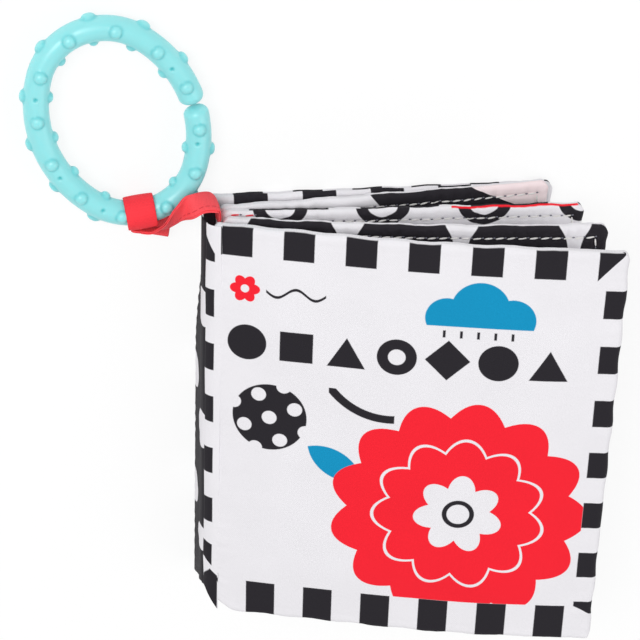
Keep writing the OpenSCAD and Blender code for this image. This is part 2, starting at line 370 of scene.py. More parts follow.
def drawShapeRow(tree, x, y):
    # a line of bold plain shapes
    p = coverPrint
    size = p["shapeSize"]
    shapes = []
    for index, kind in enumerate(p["row"]):
        across, up = p["rowStart"] + index * p["rowStep"], p["rowY"]
        if kind in p["cornered"]:
            turn, sides, half, drop = p["cornered"][kind]
            shapes.append(polygon(tree, x, y, (across, up - size * drop), turn, sides, size * half))
        elif kind == "ring":
            middle, half = [size * share for share in p["ringShares"]]
            shapes.append(ring(tree, disc(tree, x, y, (across, up), middle), half))
        else:
            shapes.append(disc(tree, x, y, (across, up), size))
    return either(tree, *shapes)


def drawCover(tree, x, y):
    p = coverPrint
    a, b = turned(tree, x, y, p["ball"], p["ballTurn"])
    spots = dotField(tree, a, b, (0, 0), p["spotPitch"], p["spotRadius"])
    ball = both(tree, disc(tree, x, y, p["ball"], p["ballRadius"]), outside(tree, spots))
    wavy = times(tree, calc(tree, "SINE", times(tree, x, p["waveTurn"])), p["waveHeight"])
    wave = both(tree, slab(tree, minus(tree, y, wavy), *p["wave"]), slab(tree, x, *p["waveAcross"]))
    stalk = both(tree, ring(tree, disc(tree, x, y, p["stalk"], p["stalkRadius"]), p["stalkHalf"]),
                 slab(tree, x, *p["stalkAcross"]), minus(tree, y, p["stalkTop"]))
    rain = both(tree, checks(tree, x, *p["rain"]), slab(tree, x, *p["rainAcross"]),
                slab(tree, y, *p["rainUp"]))
    puffs = [disc(tree, x, y, puff[:2], puff[2]) for puff in p["cloud"]]
    cloud = both(tree, either(tree, *puffs), minus(tree, p["cloudFoot"], y))
    badge = petals(tree, x, y, p["badge"], *p["badgePetals"])
    badgeHub = disc(tree, x, y, p["badge"], p["badgeHub"])
    flower = both(tree, petals(tree, x, y, p["flower"], *p["flowerPetals"]),
                  minus(tree, x, p["right"]), minus(tree, p["bottom"], y))
    creases = ring(tree, petals(tree, x, y, p["flower"], *p["creases"]), p["creaseHalf"])
    hub = petals(tree, x, y, p["flower"], *p["hub"])
    hubRing = ring(tree, disc(tree, x, y, p["flower"], p["hubRing"]), p["hubRingHalf"])
    layers = [("black", drawShapeRow(tree, x, y), ball, wave, rain, stalk),
              ("blue", cloud, leafShape(tree, x, y, *p["leaf"])), ("red", flower, badge),
              ("white", creases), ("white", hub, badgeHub), ("black", hubRing),
              ("black", drawBorder(tree, x, y))]
    colour = cloth["white"]
    for name, *shapes in layers:
        colour = paint(tree, colour, either(tree, *shapes), name)
    return colour


backPrint = {
    "bars": (8.5, 20.0, 10.0, 64.8),  # first, pitch, width and how far from the middle
    "dots": ((0, 0), 20.0, 3.0), "dotsAcross": (12, 108), "dotsUp": (-55, 55),
}


def drawBack(tree, x, y):
    # the outer face of the back cover: checks along its two ends and a plain field of dots
    p = backPrint
    dots = both(tree, dotField(tree, x, y, *p["dots"]), slab(tree, y, *p["dotsUp"]),
                slab(tree, x, *p["dotsAcross"]))
    return paint(tree, cloth["white"], either(tree, endBars(tree, x, y, *p["bars"]), dots), "black")


def drawDiscs(first, pitch, radius, hole=None):
    def draw(tree, x, y):
        spot = dotField(tree, x, y, first, pitch, radius)
        if hole:
            spot = both(tree, spot, outside(tree, dotField(tree, x, y, first, pitch, hole)))
        return paint(tree, cloth["white"], spot, "black")
    return draw


spineDots = {
    "radius": 6.9, "pitch": 46.5,
    "columns": [(20.0, 43.0), (5.0, 12.0)],  # height above the table, and one dot's place up the page
}


def drawSpine(tree, x, y):
    # white dots in two columns, x counted up from the table
    p = spineDots
    dots = [disc(tree, x, wrap(tree, minus(tree, y, first), p["pitch"]), (column, 0), p["radius"])
            for column, first in p["columns"]]
    return paint(tree, cloth["black"], either(tree, *dots), "white")


blockPrint = {
    "bars": (8.6, 22.9, 11.3, 64.8),
    "rings": [(58, -40), (58, 0), (58, 40)], "radius": 13.0, "half": 3.6,
}


def drawBlocks(tree, x, y):
    # the inner face of the back cover: blocks along both ends, and three rings
    p = blockPrint
    rings = [ring(tree, disc(tree, x, y, centre, p["radius"]), p["half"]) for centre in p["rings"]]
    return paint(tree, cloth["white"], either(tree, endBars(tree, x, y, *p["bars"]), *rings), "black")


slantPrint = {
    "top": 74.0, "edges": [(0.8, 50.3), (2.0, 84.5)],  # slant of each edge, and its place at the top
    "foot": -60.0, "blush": 84.0, "blushSoft": 8.0,
}


def drawSlant(tree, x, y):
    # the third leaf: a slanted black field on white that turns pinkish at the fore edge
    p = slantPrint
    depth = minus(tree, p["top"], y)
    low, high = [plus(tree, times(tree, depth, slant), place) for slant, place in p["edges"]]
    field = both(tree, minus(tree, low, x), minus(tree, x, high), minus(tree, p["foot"], y))
    blush = ink(tree, minus(tree, p["blush"], x), p["blushSoft"])
    return paint(tree, mixColour(tree, blush, cloth["white"], cloth["blush"]), field, "black")


ringPrint = {
    "first": (19.6, 77.0), "pitch": 33.7, "radius": 7.55, "half": 1.85,
    "redAcross": 76.0, "redUp": 73.55,  # where the red edge begins
}


def drawRings(tree, x, y):
    # the second leaf: rings cut by its upper edge, which is red towards the fore edge
    p = ringPrint
    rings = ring(tree, dotField(tree, x, y, p["first"], p["pitch"], p["radius"]), p["half"])
    line = both(tree, minus(tree, p["redUp"], calc(tree, "ABSOLUTE", y)), minus(tree, p["redAcross"], x))
    return paint(tree, paint(tree, cloth["white"], rings, "black"), line, "red")


def drawFold(seamX, turnedX):
    # the cover's border as far as the seam, and the dotted cloth of the spine past it
    def draw(tree, x, y):
        border = paint(tree, cloth["white"], drawBorder(tree, x, y), "black")
        dots = drawSpine(tree, plus(tree, x, turnedX), y)
        return mixColour(tree, ink(tree, minus(tree, x, seamX)), border, dots)
    return draw


materials = {
    "cover": clothMaterial("coverPrint", drawCover),
    "bigDiscs": clothMaterial("bigDiscPrint", drawDiscs((22.5, 64.0), 36.6, 16.4)),
    "rings": clothMaterial("ringPrint", drawRings),
    "wideRings": clothMaterial("wideRingPrint", drawDiscs((24.0, 55.5), 37.0, 14.0, hole=9.0)),
    "blocks": clothMaterial("blockPrint", drawBlocks),
    "slant": clothMaterial("slantPrint", drawSlant),
    "back": clothMaterial("backPrint", drawBack),
    "spine": clothMaterial("spinePrint", drawSpine),
}
print("cloth prints drawn")


# Padded panels
def ripple(seed, wave, count=7):
    # a smooth random field about 1 high, as a few crossing waves
    random = np.random.default_rng(seed)
    turn = random.uniform(0, math.tau, count)
    size = math.tau / (wave * mm) * random.uniform(0.6, 1.3, count)
    phase = random.uniform(0, math.tau, count)

    def field(x, y):
        waves = [np.sin(x * k * math.cos(a) + y * k * math.sin(a) + f)
                 for a, k, f in zip(turn, size, phase)]
        return np.sum(waves, axis=0) / math.sqrt(count)
    return field


def ruffle(seed, wave, count=4):
    # the same along one line, for folds that run square to a seam
    random = np.random.default_rng(seed)
    size = math.tau / (wave * mm) * random.uniform(0.75, 1.35, count)
    phase = random.uniform(0, math.tau, count)

    def field(run):
        return np.sum([np.sin(run * k + f) for k, f in zip(size, phase)], axis=0) / math.sqrt(count)
    return field


def arc(spec, s):
    first, last = np.radians(spec["slopes"])
    bend = (last - first) / spec["width"]
    angle = first + bend * s
    if abs(bend) < 1e-6:
        return spec["start"][0] + s * math.cos(first), spec["start"][1] + s * math.sin(first), angle
    x = spec["start"][0] + (np.sin(angle) - math.sin(first)) / bend
    z = spec["start"][1] + (math.cos(first) - np.cos(angle)) / bend
    return x, z, angle


def ease(t):
    return t * t * (3 - 2 * t)


def ramp(value, first, last):
    # from 0 at first to 1 at last, both in mm
    return np.clip((value / mm - first) / (last - first), 0, 1)


padding = {  # mm, or a share
    "cornerFade": 6, "rimShare": 0.92, "loftReach": 22, "groove": 0.6,
    "lumpShift": 30, "puckerShift": 13,  # between the two faces
    "puckerAt": 0.6, "puckerWidth": 0.7,  # shares of the stitching's distance from the edge
    "innerAt": 2, "innerReach": 3.5, "innerShare": 0.6,
    "slackReach": 3, "seamIn": 0.3, "close": 0.86, "quickStep": 2.2,
}


def panelPlace(spec, s, y, side, lift=0.0):
    # where a point of the cut cloth lies on the padded panel; side is 1 above, -1 below, 0 on the seam
    p = padding
    a = np.minimum(s, spec["width"] - s)
    b = np.minimum(y + spec["height"] / 2, spec["height"] / 2 - y)
    edge = np.minimum(a, b)
    run = np.where(b < a, s, y)
    square = ramp(np.abs(a - b), 0, p["cornerFade"])  # folds fade where two sides meet
    rim, stitch = spec["rim"], spec["stitch"]
    inRim = np.clip(rim - edge, 0, rim)
    half = np.sqrt(rim * rim - inRim * inRim * p["rimShare"])
    deep = ramp(edge - stitch, 0, p["loftReach"])
    half = half + spec["loft"] * ease(deep)
    groove = np.exp(-((edge - stitch) / (p["groove"] * mm)) ** 2)
    near = np.exp(-((edge - p["puckerAt"] * stitch) / (p["puckerWidth"] * stitch)) ** 2)
    inner = np.abs(edge - stitch - p["innerAt"] * mm)
    near = near + p["innerShare"] * np.exp(-inner / (p["innerReach"] * mm))
    lumps = spec["fields"]["lump"](s, y + side * p["lumpShift"] * mm) * spec["lump"] * deep
    pucker = spec["fields"]["pucker"](run + side * p["puckerShift"] * mm) * spec["pucker"] * near * square
    half = half - groove * spec["groove"] + lumps + pucker
    sway = spec["fields"]["sway"](s, y) * spec["sway"]
    x, z, angle = arc(spec, s)
    out = side * half + sway + side * lift
    slack = (0.5 + 0.5 * np.clip(spec["fields"]["edge"](run), -1, 1)) * spec["slack"] * square
    pull = slack * np.exp(-edge / (p["slackReach"] * mm))
    y = y - np.where(b < a, np.sign(y), 0) * pull
    back = np.where(b < a, 0, np.where(s < spec["width"] / 2, 1, -1)) * pull
    x, z = x + back * np.cos(angle), z + back * np.sin(angle)
    x, z = x - out * np.sin(angle), z + out * np.cos(angle)
    return spec["drape"](s, x, y, z) if "drape" in spec else (x, y, z)


drapes = {  # mm; a pair is where a pull begins and where it is full
    "foldDown": (35, 75), "foldHigh": 21, "foldShare": 0.435,
    "coverDown": (40, 73), "coverReach": 11, "coverPull": 8.5,
    "footUp": (22, 62), "footHigh": 21, "footIn": 3.0, "footOut": 0.8,
    "tuckUp": (50, 75), "tuckHigh": (5, 14), "tuckPull": 9.0,
    "leafReach": 120, "leafPower": 1.4,
}


def foldPull(y, height):
    # how far the lower end of the fold is drawn up the page, at a height above the table
    low = np.clip(height, 0, drapes["foldHigh"] * mm)
    return y + drapes["foldShare"] * low * ease(ramp(-y, *drapes["foldDown"]))


def drapeCover(s, x, y, z):
    near = (1 - ramp(s, 0, drapes["coverReach"])) * ramp(-y, *drapes["coverDown"])
    return x, y + drapes["coverPull"] * mm * near * near, z


def drapeSpine(s, x, y, z):
    # the spine's foot is drawn under the book towards the top of the page
    inward = drapes["footIn"] * ease(ramp(y, *drapes["footUp"])) - drapes["footOut"]
    tuck = ramp(y, *drapes["tuckUp"]) * ramp(z, *drapes["tuckHigh"])
    x = x + inward * mm * (1 - ramp(z, 0, drapes["footHigh"]))
    return x, foldPull(y, z) - drapes["tuckPull"] * mm * tuck * tuck, z


def skewLeaf(amount):
    # the leaf has slipped up the page towards its fore edge
    def drape(s, x, y, z):
        return x, y + amount * (s / (drapes["leafReach"] * mm)) ** drapes["leafPower"], z
    return drape


def roundCorner(spec, s, y):
    # bends the square net's corners into arcs
    r = spec["corner"]
    a = np.minimum(s, spec["width"] - s)
    b = np.minimum(y + spec["height"] / 2, spec["height"] / 2 - y)
    inside = (a < r) & (b < r)
    d = np.minimum(a, b)
    far = np.maximum(a, b)
    turn = math.pi / 4 * (r - far) / np.maximum(r - d, 1e-9)
    across, along = (r - d) * np.cos(turn), (r - d) * np.sin(turn)
    newA = np.where(inside, r - np.where(a < b, across, along), a)
    newB = np.where(inside, r - np.where(a < b, along, across), b)
    newS = np.where(s < spec["width"] / 2, newA, spec["width"] - newA)
    newY = np.where(y < 0, newB - spec["height"] / 2, spec["height"] / 2 - newB)
    return newS, newY


def spread(t):
    # evens 0..1 with closer steps near both ends
    close = padding["close"]
    return 0.5 - 0.5 * np.sin(math.pi * (0.5 - t) * close) / math.sin(math.pi / 2 * close)


def makeObject(name, bm, body, replaced=()):
    mesh = bpy.data.meshes.new(name)
    bm.to_mesh(mesh)
    bm.free()
    mesh.shade_smooth()
    obj = bpy.data.objects.new(name, mesh)
    scene.collection.objects.link(obj)
    if body:
        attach(obj, body)
    if replaced:
        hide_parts(*replaced)
    return obj


def cutCube(cutsX, cutsY):
    # a flat box with a net of cuts on its two faces and one seam line round its sides
    bm = bmesh.new()
    bmesh.ops.create_cube(bm, size=1)
    for axis, cuts in ((0, cutsX), (1, cutsY), (2, 1)):
        edges = [e for e in bm.edges
                 if abs(e.verts[0].co[axis] - e.verts[1].co[axis]) > 0.9]
        bmesh.ops.subdivide_edges(bm, edges=edges, cuts=cuts, use_grid_fill=True)
    return bm


def makePanel(name, spec, body, replaced=()):
    step = spec["step"] * mm
    bm = cutCube(int(spec["width"] / step), int(spec["height"] / step))
    bm.verts.ensure_lookup_table()
    co = np.array([v.co for v in bm.verts])
    s = spread(co[:, 0] + 0.5) * spec["width"]
    y = (spread(co[:, 1] + 0.5) - 0.5) * spec["height"]
    side = np.round(co[:, 2] * 2)
    s, y = roundCorner(spec, s, y)
    uvs = np.stack([s + spec["printShift"], y], axis=1) / (mapUnit * mm)
    inset = np.where(side == 0, padding["seamIn"] * mm, 0.0)  # the seam draws in a little
    s = np.clip(s, inset, spec["width"] - inset)
    y = np.clip(y, inset - spec["height"] / 2, spec["height"] / 2 - inset)
    places = np.stack(panelPlace(spec, s, y, side), axis=1)
    layer = bm.loops.layers.uv.new("cut")
    for v, point in zip(bm.verts, places):
        v.co = point
    for face in bm.faces:
        face.material_index = 1 if sum(side[v.index] for v in face.verts) < 0 else 0
        for loop in face.loops:
            loop[layer].uv = uvs[loop.vert.index]
    bmesh.ops.recalc_face_normals(bm, faces=bm.faces)
    obj = makeObject(name, bm, body, replaced)
    for key in ("above", "below"):
        obj.data.materials.append(materials[spec[key]])
    return obj


thread = {
    "pitch": 3.6, "length": 2.9, "radius": 0.34, "lift": 0.26, "slant": 0.2,  # mm
    "hole": 0.3, "holeLong": 0.45, "holeAt": 0.12,  # the last is a share of the stitch, past its end
    "bead": (6, 4), "holeBead": (5, 3),  # faces round and along
    # holeShade is painted shade: the grey of the bead that stands for the shadow in each needle hole
    "colour": rgb(244, 242, 240), "holeShade": rgb(120, 120, 132), "tackColour": rgb(238, 40, 56),
    "shade": 0.8, "twist": 1500, "surface": {"Roughness": 0.6},
}


def threadMaterial(name, colour):
    material, tree, shader = newMaterial(name, thread["surface"])
    twist = addNoise(tree, tree.nodes.new("ShaderNodeTexCoord").outputs["Object"], thread["twist"])
    plug(tree, shader.inputs["Base Color"], mixColour(tree, twist, darker(colour, thread["shade"]), colour))
    return material


def addBead(bm, centre, turn, radius, half, faces):
    size = Matrix.Diagonal((radius * mm, radius * mm, half, 1))
    return bmesh.ops.create_uvsphere(bm, u_segments=faces[0], v_segments=faces[1], radius=1,
                                     matrix=Matrix.Translation(centre) @ turn @ size)["verts"]


def addStitches(spec, side, run):
    # one line of stitches, with a grey bead between each two as painted shade for the dent where the thread
    # goes in; run is (s, y, s, y) on the cut cloth, in metres
    s0, y0, s1, y1 = run
    span = math.hypot(s1 - s0, y1 - y0)
    count = max(2, int(span / (thread["pitch"] * mm)))
    t = (np.arange(count) + 0.5) / count
    reach = 0.5 * thread["length"] * mm / span
    across = np.array([-(y1 - y0), s1 - s0]) / span * thread["slant"] * mm
    ends = []
    for sign in (-1, 1):
        here = t + sign * reach
        ends.append(np.stack(panelPlace(spec, s0 + (s1 - s0) * here + across[0] * sign,
                                        y0 + (y1 - y0) * here + across[1] * sign, side,
                                        thread["lift"] * mm), axis=1))
    bm = bmesh.new()
    for first, last in zip(*ends):
        first, last = Vector(first), Vector(last)
        along = last - first
        turn = along.to_track_quat("Z", "X").to_matrix().to_4x4()
        addBead(bm, (first + last) / 2, turn, thread["radius"], along.length / 2, thread["bead"])
        # a grey bead past each stitch's end, painted shade in the needle hole
        hole = addBead(bm, last + along * thread["holeAt"], turn, thread["hole"], thread["holeLong"] * mm,
                       thread["holeBead"])
        for face in {face for v in hole for face in v.link_faces}:
            face.material_index = 1
    return bm


def seamRuns(spec):
    d, w, h = spec["stitch"], spec["width"], spec["height"] / 2
    return [(d, h - d, w - d, h - d), (w - d, h - d, w - d, d - h), (w - d, d - h, d, d - h),
            (d, d - h, d, h - d)]


def makeStitches(name, spec, body, runs, material, sides=(1, -1)):
    whole = bmesh.new()
    for side in sides:
        for run in runs:
            bm = addStitches(spec, side, run)
            line = bpy.data.meshes.new("stitchLine")
            bm.to_mesh(line)
            bm.free()
            whole.from_mesh(line)
            bpy.data.meshes.remove(line)
    obj = makeObject(name, whole, body)
    obj.data.materials.append(material)
    obj.data.materials.append(holeShadeThread)
    return obj


frontHinge, backHinge = joints["front_cover_hinge"], joints["back_cover_hinge"]
frontReach, backReach = 2.81 * mm, 2.86 * mm  # from a hinge line to the middle of the cover's round edge
coverSpec = {
    "width": 133.6 * mm, "height": 150 * mm, "rim": 2.0 * mm, "corner": 3.8 * mm, "stitch": 4.2 * mm,
    "loft": 0.8 * mm, "groove": 0.06 * mm, "lump": 0.25 * mm, "pucker": 0.09 * mm, "sway": 0.3 * mm,
    "slack": 0.45 * mm, "slopes": (20, 10), "printShift": 0.0, "fill": 0.5, "above": "cover",
    "below": "wideRings", "step": 0.95, "drape": drapeCover,
}
coverLean = math.radians(coverSpec["slopes"][0])
coverSpec["start"] = (frontHinge.x + (frontReach - coverSpec["rim"]) * math.cos(coverLean),
                      frontHinge.z + (frontReach - coverSpec["rim"]) * math.sin(coverLean))
backSpec = dict(coverSpec, width=117 * mm, slopes=(0, 0), loft=0.4 * mm, sway=0.0, lump=0.05 * mm,
                above="blocks", below="back", groove=0.15 * mm)
backSpec["start"] = (backHinge.x + backReach - backSpec["rim"], backHinge.z)
del backSpec["drape"]
leafSpec = dict(backSpec, height=148 * mm, rim=1.9 * mm, loft=0.5 * mm, lump=0.2 * mm, groove=0.42 * mm,
                pucker=0.24 * mm, sway=0.4 * mm, corner=4.2 * mm)
leafStart = spineX + 4.2 * mm
leaves = {
    "leafA": dict(leafSpec, width=125 * mm, start=(leafStart, 16.5 * mm), slopes=(16, 5),
                  above="bigDiscs", below="wideRings", drape=skewLeaf(2.3 * mm)),
    "leafB": dict(leafSpec, width=121 * mm, start=(leafStart, 11.6 * mm), slopes=(5, 1),
                  above="rings", below="bigDiscs"),
    "leafC": dict(leafSpec, width=111 * mm, start=(leafStart, 8.0 * mm), slopes=(1, -2),
                  above="slant", below="wideRings", drape=skewLeaf(4.6 * mm)),
}
spineSpec = dict(coverSpec, width=spineHigh.z - spineLow.z, slopes=(90, 90), loft=0.0, sway=0.0,
                 lump=0.1 * mm, start=(spineX, spineLow.z), above="spine", below="spine",
                 printShift=spineLow.z, drape=drapeSpine, corner=4.2 * mm)
gutterSpec = dict(leafSpec, width=12.4 * mm, height=139 * mm, slopes=(90, 90), loft=0.0, sway=0.0,
                  start=(spineX + 4.4 * mm, 6.1 * mm), above="wideRings", below="wideRings", corner=2.5 * mm)
for seed, spec in enumerate([coverSpec, backSpec, spineSpec, *leaves.values(), gutterSpec]):
    spec["fields"] = {"lump": ripple(40 + seed, 34), "pucker": ruffle(60 + seed, 4.6),
                      "sway": ripple(80 + seed, 90), "edge": ruffle(20 + seed, 17)}

makePanel("frontCover", coverSpec, "front_cover", ["front_cover"])
makePanel("backCover", backSpec, "back_cover", ["back_cover"])
makePanel("spineBoard", spineSpec, "root", ["spine"])
makePanel("gutter", gutterSpec, "root", ["pages"])
# the grey thread for the needle holes is painted shade
holeShadeThread = threadMaterial("stitchHoleShade", thread["holeShade"])
whiteThread = threadMaterial("whiteThread", thread["colour"])
redThread = threadMaterial("redThread", thread["tackColour"])
for leafName, spec in leaves.items():
    makePanel(leafName, spec, "root")
    makeStitches(leafName + "Stitches", spec, "root", seamRuns(spec), whiteThread)
tack = {"lines": 3, "pitch": 1.3, "first": (2.5, 73, 12, 72.6)}  # mm on the second leaf's cloth
tackRuns = [[(place - tack["pitch"] * k * (axis % 2)) * mm for axis, place in enumerate(tack["first"])]
            for k in range(tack["lines"])]
makeStitches("gutterTack", leaves["leafB"], "root", tackRuns, redThread, sides=[1])
print("padded panels made")


# The cloth that turns over the fold from the front cover to the spine
foldStrip = {
    "route": [(3.2, 25.9), (1.3, 25.45), (-0.25, 24.45), (-1.3, 23.1), (-1.35, 22.35), (-1.95, 21.0),
              (-2.25, 18.6), (-2.2, 16.0)],  # mm, X from the spine and Z
    "seamPoint": 4, "steps": 5, "rows": 150,
    "height": 149.4, "thick": 0.4,
    "start": 4.05,  # the cover's print at the first point
    "bulge": (7, 26), "swell": 0.2, "swellOut": (0.7, 0.6),
    "rise": 8.7, "riseRate": 2.4,  # the pull up the page, and how fast it grows from the first point
}


def curveThrough(points, steps):
    # Catmull-Rom through the points
    pts = np.array(points, float)
    pts = np.vstack([2 * pts[0] - pts[1], pts, 2 * pts[-1] - pts[-2]])
    out = []
    for k in range(1, len(pts) - 2):
        for t in np.arange(steps) / steps:
            a, b, c, d = pts[k - 1:k + 3]
            out.append(0.5 * (2 * b + (c - a) * t + (2 * a - 5 * b + 4 * c - d) * t * t
                              + (3 * b - a - 3 * c + d) * t ** 3))
    out.append(pts[-2])
    return np.array(out)


def runLengths(line):
    return np.concatenate([[0], np.cumsum(np.linalg.norm(np.diff(line, axis=0), axis=1))])


def thicken(obj, thick):
    wall = obj.modifiers.new("thickness", "SOLIDIFY")
    wall.thickness = thick * mm
    wall.offset = 0
    smooth = obj.modifiers.new("smooth", "SUBSURF")
    smooth.levels = smooth.render_levels = 1


foldLine = curveThrough(foldStrip["route"], foldStrip["steps"])
foldLengths = runLengths(foldLine)


def makeFold(spec, material):
    bm = bmesh.new()
    bmesh.ops.create_grid(bm, x_segments=len(foldLine) - 1, y_segments=spec["rows"], size=0.5)
    bm.verts.ensure_lookup_table()
    layer = bm.loops.layers.uv.new("cut")
    bulge = ripple(*spec["bulge"])
    flat = {}
    for v in bm.verts:
        k = int(round((v.co.x + 0.5) * (len(foldLine) - 1)))
        y = v.co.y * spec["height"] * mm
        flat[v.index] = Vector(((spec["start"] - foldLengths[k]) / mapUnit, y / (mapUnit * mm)))
        x, z = foldLine[k] * mm
        share = foldLengths[k] / foldLengths[-1]
        swell = spec["swell"] * mm * bulge(foldLengths[k] * mm, y) * math.sin(math.pi * share)
        rise = spec["rise"] * mm * min(1, share * spec["riseRate"]) * ease(ramp(-y, *drapes["foldDown"]))
        if z < drapes["foldHigh"] * mm:
            rise = foldPull(y, z) - y
        left, up = spec["swellOut"]
        v.co = Vector((x - swell * left, y + rise, z + swell * up)) + fromSpine
    for face in bm.faces:
        for loop in face.loops:
            loop[layer].uv = flat[loop.vert.index]
    obj = makeObject("frontFold", bm, None)
    obj.data.materials.append(material)
    thicken(obj, spec["thick"])
    return obj


seamX = foldStrip["start"] - foldLengths[foldStrip["seamPoint"] * foldStrip["steps"]]
turnedX = foldStrip["route"][-1][1] - (foldStrip["start"] - foldLengths[-1])
foldPrint = clothMaterial("foldPrint", drawFold(seamX, turnedX))
frontFold = makeFold(foldStrip, foldPrint)
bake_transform(frontFold)
print("fold made")


# The ring: one tube round an oval of four arcs, with domes and a narrow opening
ringSpec = {
    "length": 64.6, "width": 49.2, "endRadius": 21.0, "tube": 4.1, "turn": 22.0,
    "centre": (-28.0, 103.7), "loopY": 72.7, "loopZ": 7.9, "farZ": 5.4,
    "gap": 0.8, "gapTurn": -6.0, "tipReach": 0.75, "tipPower": 2.4, "tipEase": 0.016,
    "along": 600, "around": 52,
    "bumps": 24, "bumpHeight": 1.3, "bumpRadius": 1.95, "bumpPower": 2.2,
    "foot": 0.12, "footAt": 1.05, "footWidth": 0.22,  # the low rim round a bump; shares of its radius
    "dimples": [(2.05, 8), (10.0, -6), (13.7, -5), (16.1, 4), (22.35, 12)],  # bump place, degrees off the top
    "dimpleRadius": 0.75, "dimpleDepth": 0.5,
    # footShade and dimpleShade are painted shade: darker teal in the crease round each bump's foot and in the
    # dimples
    "colour": rgb(150, 228, 231), "dimpleShade": rgb(66, 192, 198), "footShade": rgb(96, 204, 210),
    "cloud": 60, "cloudInk": 0.5, "shade": 0.9, "footShadeStrength": 0.6, "grain": 2500, "bump": (0.08, 0.1),
    "surface": {"Roughness": 0.3, "Subsurface Weight": 0.35, "Subsurface Radius": (0.4, 1.0, 1.0),
                "Subsurface Scale": 0.003},
}


def ringPlaces(spec, t):
    # middle of the tube and outward angle at lengths t, in mm, counted from the opening
    endOff = spec["length"] / 2 - spec["endRadius"]
    halfWidth = spec["width"] / 2
    flatter = halfWidth - spec["endRadius"]
    sideRadius = (endOff ** 2 + halfWidth ** 2 - spec["endRadius"] ** 2) / (2 * flatter)
    sideOff = sideRadius - halfWidth
    sideTurn = math.atan2(endOff, sideOff)
    arcs = [(-sideOff, 0, sideRadius, -sideTurn, 2 * sideTurn),
            (0, endOff, spec["endRadius"], sideTurn, math.pi - 2 * sideTurn),
            (sideOff, 0, sideRadius, math.pi - sideTurn, 2 * sideTurn),
            (0, -endOff, spec["endRadius"], math.pi + sideTurn, math.pi - 2 * sideTurn)]
    total = sum(a[2] * a[4] for a in arcs)
    along = (t + sideRadius * (sideTurn + math.radians(spec["gapTurn"]))) % total
    x, y, angle = np.zeros_like(t), np.zeros_like(t), np.zeros_like(t)
    begin = 0.0
    for cx, cy, radius, first, turn in arcs:
        here = (along >= begin) & (along < begin + radius * turn + 1e-9)
        a = first + (along - begin) / radius
        x = np.where(here, cx + radius * np.cos(a), x)
        y = np.where(here, cy + radius * np.sin(a), y)
        angle = np.where(here, a, angle)
        begin += radius * turn
    return x, y, angle, total


def makeRing(spec):
    total = ringPlaces(spec, np.zeros(1))[3]
    tube, gap = spec["tube"], spec["gap"]
    bm = bmesh.new()
    bmesh.ops.create_grid(bm, x_segments=spec["along"], y_segments=spec["around"], size=0.5)
    bm.verts.ensure_lookup_table()
    co = np.array([v.co for v in bm.verts])
    u = co[:, 0] + 0.5
    turn = co[:, 1] * math.tau
    t = gap / 2 + (total - gap) * (u - spec["tipEase"] * np.sin(math.tau * u))
    d = np.minimum(t - gap / 2, total - gap / 2 - t)
    tip = tube * spec["tipReach"]
    inTip = np.clip(tip - d, 0, tip) / tip
    radius = tube * np.sqrt(np.maximum(1 - inTip ** spec["tipPower"], 0))
    pitch = total / spec["bumps"]
    place = np.round(t / pitch)
    quarter = np.where(place % 2 == 1, math.pi / 2, 0)
    roundIt = (np.mod(turn - quarter + math.pi / 2, math.pi) - math.pi / 2) * tube
    share = np.hypot(t - place * pitch, roundIt) / spec["bumpRadius"]
    bumpy = (place > 0) & (place < spec["bumps"])
    dome = np.where(bumpy, spec["bumpHeight"] * np.sqrt(np.clip(1 - share ** spec["bumpPower"], 0, 1)), 0)
    foot = np.where(bumpy, np.exp(-((share - spec["footAt"]) / spec["footWidth"]) ** 2), 0)
    x, y, angle, _ = ringPlaces(spec, t)
    reach = radius + np.maximum(dome, foot * spec["foot"])
    hollow = np.zeros_like(t)
    for dimplePlace, degrees in spec["dimples"]:
        off = np.hypot(t - dimplePlace * pitch, (turn - math.pi / 2 - math.radians(degrees)) * tube)
        hollow = np.maximum(hollow, np.exp(-(off / spec["dimpleRadius"]) ** 4))
    reach = reach - spec["dimpleDepth"] * hollow
    out = reach * np.cos(turn)
    local = np.stack([x + out * np.cos(angle), y + out * np.sin(angle), reach * np.sin(turn)], axis=1)
    farY = spec["centre"][1] + spec["length"] / 2
    tilt = math.atan2(spec["loopZ"] - spec["farZ"], farY - spec["loopY"])
    middleZ = spec["loopZ"] - (spec["centre"][1] - spec["loopY"]) * math.tan(tilt)
    place3 = (Matrix.Translation(Vector((*spec["centre"], middleZ)) * mm + fromSpine)
              @ Matrix.Rotation(-tilt, 4, "X") @ Matrix.Rotation(math.radians(spec["turn"]), 4, "Z"))
    # the dimples and the bumps' feet are stored for the painted shade in the plastic's colour
    shade = bm.verts.layers.float.new("hollow")
    ridge = bm.verts.layers.float.new("foot")
    for v, point, deep, low in zip(bm.verts, local * mm, hollow, foot):
        v.co = place3 @ Vector(point)
        v[shade] = deep
        v[ridge] = low
    bmesh.ops.remove_doubles(bm, verts=bm.verts, dist=0.00001)
    bmesh.ops.holes_fill(bm, edges=[e for e in bm.edges if e.is_boundary])
    bmesh.ops.recalc_face_normals(bm, faces=bm.faces)
    return makeObject("linkRing", bm, "link_ring", ["link_ring"])


def plasticMaterial(spec):
    material, tree, shader = newMaterial("ringPlastic", spec["surface"])
    where = tree.nodes.new("ShaderNodeTexCoord").outputs["Object"]
    cloud = times(tree, addNoise(tree, where, spec["cloud"]), spec["cloudInk"])
    colour = mixColour(tree, cloud, spec["colour"], darker(spec["colour"], spec["shade"]))
    # painted shade: the crease round each bump's foot and the dimples are darkened
    for name, strength, tone in (("foot", spec["footShadeStrength"], "footShade"), ("hollow", 1.0, "dimpleShade")):
        mark = tree.nodes.new("ShaderNodeAttribute")
        mark.attribute_name = name
        colour = mixColour(tree, times(tree, mark.outputs["Fac"], strength), colour, spec[tone])
    plug(tree, shader.inputs["Base Color"], colour)
    addBump(tree, shader, addNoise(tree, where, spec["grain"]), *spec["bump"])
    return material


linkRing = makeRing(ringSpec)
linkRing.data.materials.append(plasticMaterial(ringSpec))
print("ring made")


